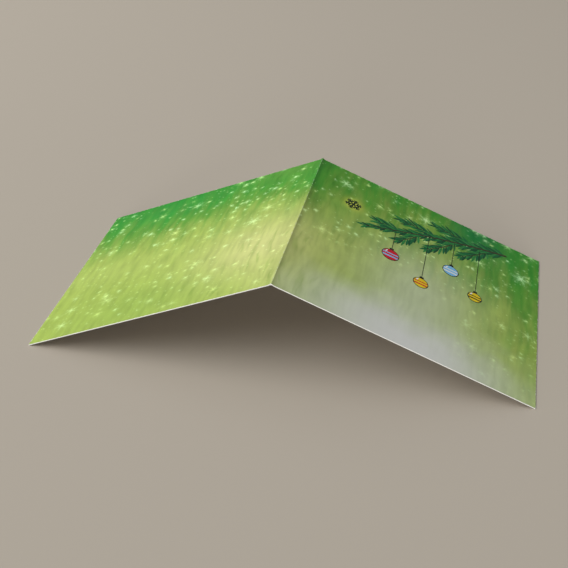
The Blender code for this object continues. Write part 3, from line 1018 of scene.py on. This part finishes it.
# %% [markdown]
# Four glass balls hang from the sprig on threads, in the strong red, yellow and light blue that make a card
# look festive. A ball is a flat circle. Insetting it leaves a dark outline, and cuts straight across it with
# bisect_plane mark out stripes, which are filled in by height. A cap, a thread and a small light on the
# shoulder finish it.

# %% Helpers for the balls
OUTLINE, RED, YELLOW, BLUE, WHITE, GLINT = range(6)
OUTLINE_WIDTH = 0.00045
BALL_SIDES = 40
STRIPES = ((-0.42, -0.18), (0.12, 0.30))  # heights from the centre, as shares of the radius
THREAD_LAYER, BALL_LAYER, CAP_LAYER, GLINT_LAYER = 15, 16, 18, 20
CAP_WIDTHS = (0.0026, 0.0022)
CAP_FROM, CAP_TO = -0.0004, 0.0015  # over the top of the ball
THREAD_FROM = 0.0012
THREAD_WIDTH = 0.00032
GLINT_PLACE = Vector((-0.62, 0.28, 0.0))
GLINT_HEADING = Vector((0.45, 0.9, 0.0))
GLINT_LENGTH, GLINT_WIDTH = 0.0026, 0.0010
UPWARDS = Vector((0.0, 1.0, 0.0))


def near(face, centre, radius):
    """True of a face that lies inside a circle."""
    return (face.calc_center_median() - centre).xy.length < radius


def striped_disc(shape, centre, radius, fill, stripe):
    """A disc with a dark outline and painted stripes."""
    made = bmesh.ops.create_circle(shape, cap_ends=True, segments=BALL_SIDES, radius=radius)["verts"]
    bmesh.ops.translate(shape, verts=made, vec=centre + ink_height(BALL_LAYER))
    disc = made[0].link_faces[0]
    disc.material_index = fill
    rim = bmesh.ops.inset_region(shape, faces=[disc], thickness=OUTLINE_WIDTH, use_boundary=True)["faces"]
    for face in rim:
        face.material_index = OUTLINE
    for height in (height for ends in STRIPES for height in ends):
        inside = [face for face in shape.faces if face.material_index == fill and near(face, centre, radius)]
        cut = {item for face in inside for item in (*face.verts, *face.edges, face)}
        level = centre + height * radius * UPWARDS
        bmesh.ops.bisect_plane(shape, geom=list(cut), dist=WELD, plane_co=level, plane_no=UPWARDS)
    for face in shape.faces:
        place = (face.calc_center_median().y - centre.y) / radius
        striped = any(bottom < place < top for bottom, top in STRIPES)
        if face.material_index == fill and near(face, centre, radius) and striped:
            face.material_index = stripe


def paint_ball(shape, hook, drop, radius, fill, stripe):
    """A glass ball on its thread, with its cap and the small light on its shoulder."""
    centre = hook - drop * UPWARDS
    striped_disc(shape, centre, radius, fill, stripe)
    top = centre + radius * UPWARDS
    line(shape, [top + CAP_FROM * UPWARDS, top + CAP_TO * UPWARDS], CAP_WIDTHS, CAP_LAYER, OUTLINE)
    line(shape, [top + THREAD_FROM * UPWARDS, hook], (THREAD_WIDTH, THREAD_WIDTH), THREAD_LAYER, OUTLINE)
    shoulder = centre + radius * GLINT_PLACE
    stroke(shape, shoulder, GLINT_HEADING, GLINT_LENGTH, GLINT_WIDTH, GLINT_LAYER, GLINT)


print("stripes on a ball:", len(STRIPES))

# %% [markdown]
# The threads differ in length, and neighbours in colour. A ball's hook is a point on the branch itself, so
# its thread always starts at the wood.

# %% Hanging balls
BALLS = (  # place along the branch, drop in millimetres, radius in millimetres, fill and stripe
    (0.83, 28.0, 5.4, RED, BLUE),
    (0.62, 52.0, 4.7, YELLOW, RED),
    (0.44, 33.0, 5.1, BLUE, WHITE),
    (0.24, 55.0, 4.5, YELLOW, OUTLINE),
)

balls = bmesh.new()
for share, drop, radius, fill, stripe in BALLS:
    paint_ball(balls, along_curve(BRANCH, share), drop / MM, radius / MM, fill, stripe)
thicken_ink(balls)
finish_piece(
    "hanging_balls", balls,
    ink("outline_ink", seen(38, 40, 26), seen(28, 30, 20)),
    ink("festive_red", seen(222, 26, 46), seen(204, 18, 40)),
    ink("sunny_yellow", seen(250, 222, 32), seen(238, 204, 20)),
    ink("light_blue", seen(146, 208, 246), seen(120, 190, 236)),
    ink("soft_white", seen(246, 246, 240), seen(232, 234, 228)),
    ink("glint_white", seen(255, 255, 252), seen(244, 246, 244)),
)

# %% [markdown]
# A dark snow crystal stands alone at the upper left, in the soft yellow halo of the background print. It has
# six arms, and each arm is one long stroke with two pairs of short ones.

# %% Snow crystal
CRYSTAL_ARMS = 6
CRYSTAL_TURN = 0.26
ARM_LENGTH, ARM_WIDTH = 0.0062, 0.0013
ARM_OVERLAP = 0.0004
SIDE_STROKES = ((0.0021, 0.0026), (0.0037, 0.0019))  # how far out each pair starts, and its length
SIDE_WIDTH = 0.0009
SIDE_ANGLE = math.radians(52.0)
ARM_LAYERS = 3

crystal = bmesh.new()
middle = on_front(*CRYSTAL_PLACE)
for arm in range(CRYSTAL_ARMS):
    direction = arm * math.tau / CRYSTAL_ARMS + CRYSTAL_TURN
    heading = Vector((math.cos(direction), math.sin(direction), 0.0))
    layer = arm % ARM_LAYERS
    stroke(crystal, middle - heading * ARM_OVERLAP, heading, ARM_LENGTH, ARM_WIDTH, layer, 0)
    for out, long in SIDE_STROKES:
        for side in (-1, 1):
            aim = Matrix.Rotation(side * SIDE_ANGLE, 3, "Z") @ heading
            over = layer + ARM_LAYERS * (1 + (side > 0))
            stroke(crystal, middle + heading * out, aim, long, SIDE_WIDTH, over, 0)
thicken_ink(crystal)
finish_piece("snow_crystal", crystal, ink("night_green", seen(14, 52, 20), seen(8, 36, 14)))
